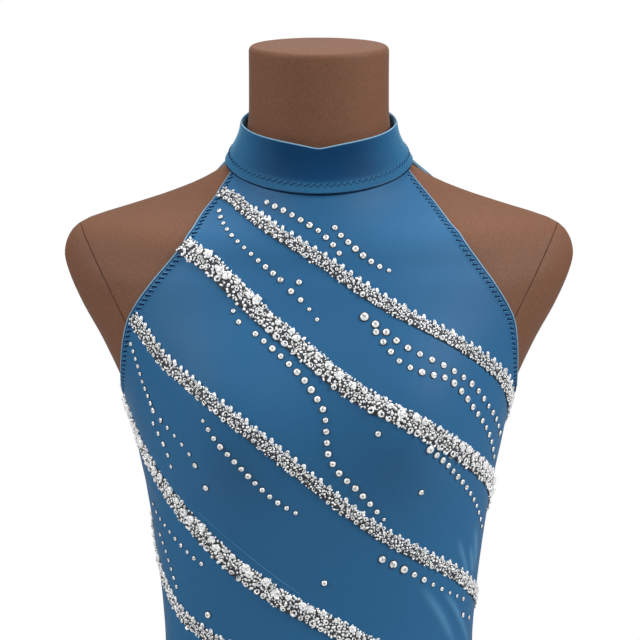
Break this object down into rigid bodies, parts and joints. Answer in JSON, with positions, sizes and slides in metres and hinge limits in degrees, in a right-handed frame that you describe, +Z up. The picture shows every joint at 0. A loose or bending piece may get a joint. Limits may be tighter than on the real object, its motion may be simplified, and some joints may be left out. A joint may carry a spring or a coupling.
{
  "type": "lyrical dance dress on a limbless dress form with a round stand",
  "caption": "Halter-neck lyrical dance dress in blue stretch cloth with spiralling crystal bands and a flared skirt, worn by a limbless dress form on a round stand.",
  "frame": {"origin": "centre of the underside of the stand's round base, on the floor", "axes": "+Z up along the pole and the body, -Y the way the wearer faces, +X the wearer's left"},
  "size_m": [0.606, 0.4996, 1.4881],
  "materials": {
    "form_skin": "smooth matte brown skin of the dress form",
    "stand_steel": "satin steel",
    "bodice_cloth": "matte stretch knit in dusty blue",
    "collar_cloth": "doubled stretch knit in dusty blue",
    "skirt_cloth": "soft light stretch knit in dusty blue",
    "button_crystal": "clear faceted button in a metal cup",
    "band_crystal": "faceted clear rhinestones with silver backs"
  },
  "bodies": {
    "root": {"form_torso": "form_skin", "stand_base": "stand_steel", "stand_sleeve": "stand_steel", "stand_pole": "stand_steel", "bodice_front": "bodice_cloth", "bodice_back_left": "bodice_cloth", "bodice_back_right": "bodice_cloth", "collar": "collar_cloth", "button_1": "button_crystal", "button_2": "button_crystal", "skirt_front": "skirt_cloth", "skirt_back": "skirt_cloth", "front_band_1": "band_crystal", "front_band_2": "band_crystal", "front_band_3": "band_crystal", "front_band_4": "band_crystal", "front_band_5": "band_crystal", "back_band_1": "band_crystal", "back_band_2": "band_crystal", "back_band_3": "band_crystal", "back_band_4": "band_crystal"}
  },
  "joints": []
}
